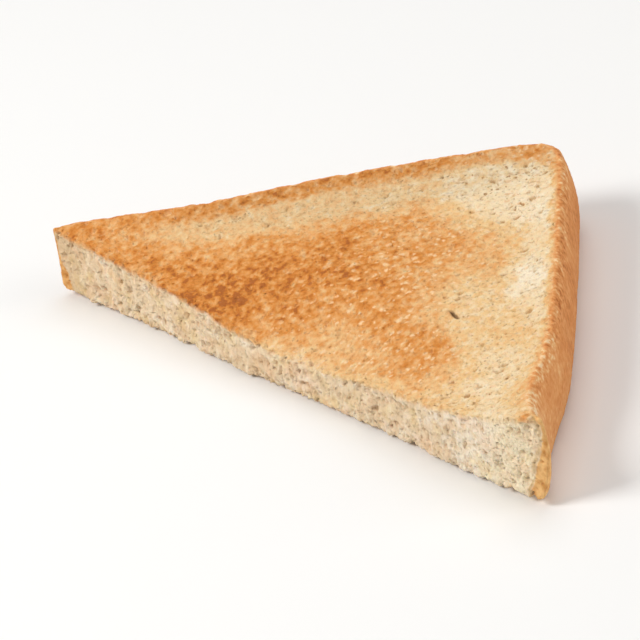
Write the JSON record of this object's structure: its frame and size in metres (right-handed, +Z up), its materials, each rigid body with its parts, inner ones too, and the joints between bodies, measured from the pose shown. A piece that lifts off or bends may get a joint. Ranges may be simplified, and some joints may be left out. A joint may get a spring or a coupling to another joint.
{
  "type": "buttered toast",
  "caption": "Triangular half of a toasted sandwich bread slice, browned on its face, with crust on its two short sides, lying flat to eat or dress a plate.",
  "frame": {"origin": "bottom centre of the toast's box, on the surface that it lies on", "axes": "+X along the long cut side, towards the tip at the end of the side crust; +Y from the cut side towards the right-angled corner; +Z up, out of the toasted face"},
  "size_m": [0.1556, 0.078, 0.0198],
  "materials": {
    "toast": "dry toasted bread crumb, matte, with a faint sheen of butter on the browned face"
  },
  "bodies": {
    "root": {"toast": "toast"}
  },
  "joints": []
}
